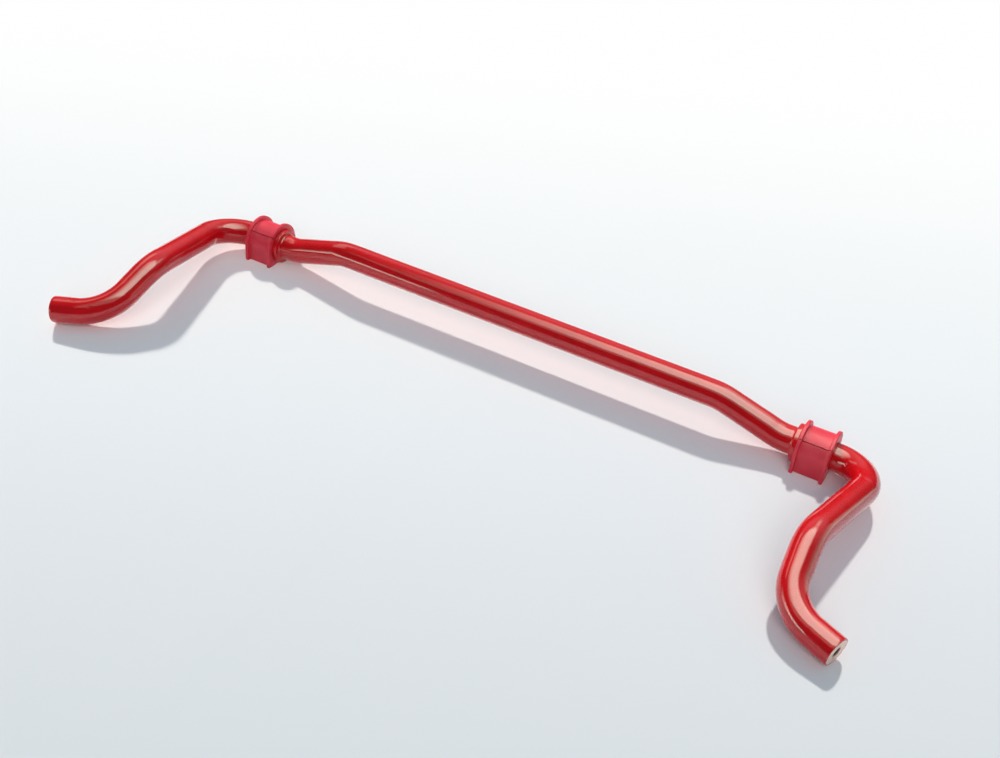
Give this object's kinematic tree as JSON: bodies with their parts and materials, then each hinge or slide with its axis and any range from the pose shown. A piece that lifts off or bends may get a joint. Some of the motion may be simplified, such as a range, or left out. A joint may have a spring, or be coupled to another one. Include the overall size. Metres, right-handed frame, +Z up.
{
  "type": "sway bar",
  "caption": "Tubular anti-roll bar with a raised middle and two arms that end in tapped tips, turning in split bushings beside its stop rings.",
  "frame": {"origin": "middle of the bar's width and depth, on the plane that the bushing bases and the two tips rest on", "axes": "X runs across the vehicle along the axis of the bushings, +Y points from the tips to the back of the bushings, so the arms reach along -Y, and +Z is up, away from the bushing bases"},
  "size_m": [0.9726, 0.3133, 0.0656],
  "materials": {
    "paint": "gloss powder coat",
    "ring_paint": "gloss powder coat over a pressed steel strip",
    "bare_steel": "machined, bare",
    "polyurethane": "satin cast polyurethane"
  },
  "bodies": {
    "bar": {"bar_tube": "paint", "left_stop_ring": "ring_paint", "right_stop_ring": "ring_paint", "left_end_insert": "bare_steel", "right_end_insert": "bare_steel"},
    "left_bushing": {"left_bushing": "polyurethane"},
    "right_bushing": {"right_bushing": "polyurethane"}
  },
  "joints": [
    {"name": "left_bushing_turn", "type": "hinge", "parent": "bar", "child": "left_bushing", "pos_m": [-0.3725, 0.12846, 0.0224], "axis": [1, 0, 0], "continuous": true},
    {"name": "right_bushing_turn", "type": "hinge", "parent": "bar", "child": "right_bushing", "pos_m": [0.3725, 0.12846, 0.0224], "axis": [1, 0, 0], "continuous": true}
  ]
}
